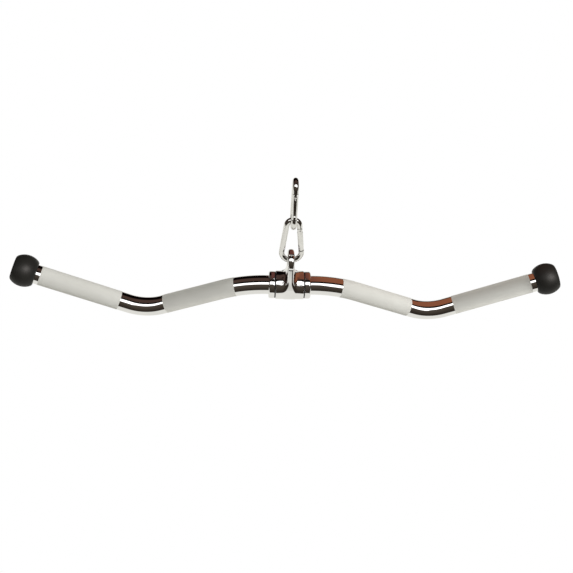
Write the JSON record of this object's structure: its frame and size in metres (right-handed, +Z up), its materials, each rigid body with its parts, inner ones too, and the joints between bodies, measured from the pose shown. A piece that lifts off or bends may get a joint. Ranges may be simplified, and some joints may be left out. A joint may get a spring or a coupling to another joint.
{
  "type": "lat pulldown bar",
  "caption": "Cambered lat pulldown bar with knurled grips and rubber end balls, turning in a swivel hanger that hangs on linked snap hooks.",
  "frame": {"origin": "the inside of the upper snap hook's top bow, where it bears on what holds the bar", "axes": "+X along the bar to its right end, +Z up the chain of hooks, -Y towards the user's view in the picture"},
  "size_m": [0.8032, 0.0464, 0.2467],
  "materials": {
    "chrome": "bright chrome plate, with fine knurled grips on the bar",
    "bright_steel": "bright nickel plate",
    "spring_steel": "bare spring wire",
    "bronze": "turned bearing bronze",
    "black_nylon": "plain black nylon",
    "black_rubber": "matte black rubber",
    "dark_steel": "black oxide"
  },
  "bodies": {
    "upper_hook": {"upper_hook_body": "bright_steel", "upper_gate_rivet": "bright_steel"},
    "upper_gate": {"upper_gate": "bright_steel", "upper_latch_pin": "bright_steel", "upper_gate_spring": "spring_steel"},
    "upper_plunger": {"upper_gate_plunger": "bright_steel"},
    "lower_hook": {"lower_hook_body": "bright_steel", "lower_gate_rivet": "bright_steel"},
    "lower_gate": {"lower_gate": "bright_steel", "lower_latch_pin": "bright_steel", "lower_gate_spring": "spring_steel"},
    "lower_plunger": {"lower_gate_plunger": "bright_steel"},
    "hanger": {"swivel_hanger": "chrome", "bushing_left": "bronze", "bushing_right": "bronze"},
    "bar": {"cambered_bar": "chrome", "thrust_washer_left": "black_nylon", "thrust_washer_right": "black_nylon", "collar_left": "chrome", "collar_right": "chrome", "set_screw_left": "dark_steel", "set_screw_right": "dark_steel", "end_ball_left": "black_rubber", "end_ball_right": "black_rubber"}
  },
  "joints": [
    {"name": "upper_gate_hinge", "type": "hinge", "parent": "upper_hook", "child": "upper_gate", "pos_m": [0, -0.00966, -0.01231], "axis": [1, 0, 0], "range_deg": [0, 24], "stiffness_Nm_per_rad": 0.15, "springref_deg": -17.19},
    {"name": "upper_plunger_slide", "type": "slide", "parent": "upper_gate", "child": "upper_plunger", "axis": [0, -0.1067, -0.9943], "range_m": [0, 0.0012], "deforming": ["upper_gate_spring"]},
    {"name": "lower_hook_swing", "type": "hinge", "parent": "upper_hook", "child": "lower_hook", "pos_m": [0, 0, -0.0665], "axis": [0, 1, 0], "range_deg": [-90, 90]},
    {"name": "lower_gate_hinge", "type": "hinge", "parent": "lower_hook", "child": "lower_gate", "pos_m": [0.00966, 0, -0.07451], "axis": [0, 1, 0], "range_deg": [0, 24], "stiffness_Nm_per_rad": 0.15, "springref_deg": -17.19},
    {"name": "lower_plunger_slide", "type": "slide", "parent": "lower_gate", "child": "lower_plunger", "axis": [0.1067, 0, -0.9943], "range_m": [0, 0.0012], "deforming": ["lower_gate_spring"]},
    {"name": "hanger_swing", "type": "hinge", "parent": "lower_hook", "child": "hanger", "pos_m": [0, 0, -0.1287], "axis": [1, 0, 0], "range_deg": [-90, 90]},
    {"name": "bar_spin", "type": "hinge", "parent": "hanger", "child": "bar", "pos_m": [0, 0, -0.1768], "axis": [1, 0, 0], "continuous": true}
  ],
  "couplings": [
    {"joint": "upper_plunger_slide", "follows": "upper_gate_hinge", "m_per_rad": 0.00275},
    {"joint": "lower_plunger_slide", "follows": "lower_gate_hinge", "m_per_rad": 0.00275}
  ]
}
